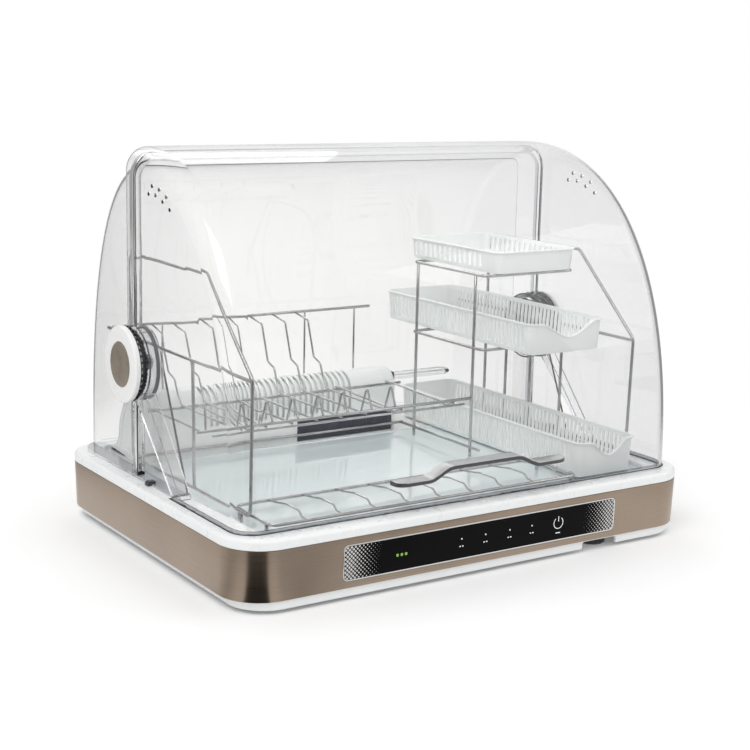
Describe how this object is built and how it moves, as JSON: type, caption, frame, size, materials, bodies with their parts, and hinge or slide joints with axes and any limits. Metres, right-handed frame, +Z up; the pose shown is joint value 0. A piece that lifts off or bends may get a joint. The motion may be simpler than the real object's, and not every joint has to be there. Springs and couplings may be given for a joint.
{
  "type": "uv sterilizer cabinet",
  "caption": "Counter-top dish sterilizer and dryer: steel-banded base with touch panel, clear arched cabinet with a flip-up front cover, wire plate and saucer racks, and slotted baskets.",
  "frame": {"origin": "on the table, under the middle of the base", "axes": "+Z up, +X to the right, front towards -Y"},
  "size_m": [0.56, 0.4174, 0.4135],
  "materials": {
    "pan": "light grey plastic",
    "foot_rubber": "black rubber",
    "band_steel": "champagne coating, brushed along the band",
    "deck_white": "white, satin gloss",
    "seal": "dark grey",
    "tray": "pale blue-white, high gloss",
    "bezel": "polished",
    "panel": "black, high gloss",
    "board": "circuit board",
    "dark": "black plastic",
    "case": "grey plastic",
    "clear": "clear moulded plastic, high gloss",
    "grip": "smoky grey, gloss",
    "cap": "white, gloss",
    "badge": "champagne coating",
    "pin": "bright steel",
    "housing": "white, satin gloss",
    "grille": "near-black plastic",
    "motor": "plated steel",
    "fin": "bare metal",
    "lamp": "frosted tube",
    "wire": "bright plated wire",
    "basket": "white, satin gloss"
  },
  "bodies": {
    "cabinet": {"base_tray": "pan", "foot_front_left": "foot_rubber", "foot_front_right": "foot_rubber", "foot_rear_left": "foot_rubber", "foot_rear_right": "foot_rubber", "metal_band": "band_steel", "deck": "deck_white", "cover_seal": "seal", "drip_tray": "tray", "panel_bezel": "bezel", "control_panel": "panel", "control_board": "board", "cord_gland": "dark", "lamp_ballast": "case", "rear_shell": "clear", "pivot_pin_left": "pin", "pivot_pin_right": "pin", "shell_clip_left": "dark", "shell_clip_right": "dark", "interlock_sensor": "dark", "rear_housing": "housing", "vent_grille": "grille", "fan_motor": "motor", "heater": "fin", "lamp_holder": "dark", "uv_lamp": "lamp", "wire_stand_left": "wire", "wire_stand_right": "wire", "plate_rack_rear": "wire", "plate_rack_floor": "wire", "plate_rack_front": "wire", "plate_divider_1": "wire", "plate_divider_2": "wire", "plate_divider_3": "wire", "plate_divider_4": "wire", "plate_divider_5": "wire", "plate_divider_6": "wire", "plate_divider_7": "wire", "saucer_rack": "wire", "basket_tower": "wire", "basket_top": "basket", "basket_middle": "basket", "basket_bottom": "basket"},
    "cover": {"front_cover": "clear", "cover_handle": "grip", "pivot_cap_left": "cap", "pivot_cap_right": "cap", "pivot_badge_left": "badge", "pivot_badge_right": "badge", "damper_ring_left": "dark", "damper_ring_right": "dark", "cover_magnet": "pin"},
    "fan": {"fan_impeller": "dark"}
  },
  "joints": [
    {"name": "cover_hinge", "type": "hinge", "parent": "cabinet", "child": "cover", "pos_m": [0, 0.054, 0.193], "axis": [-1, 0, 0], "range_deg": [0, 95]},
    {"name": "fan_spin", "type": "hinge", "parent": "cabinet", "child": "fan", "pos_m": [0.032, 0.145, 0.098], "axis": [1, 0, 0], "continuous": true}
  ]
}
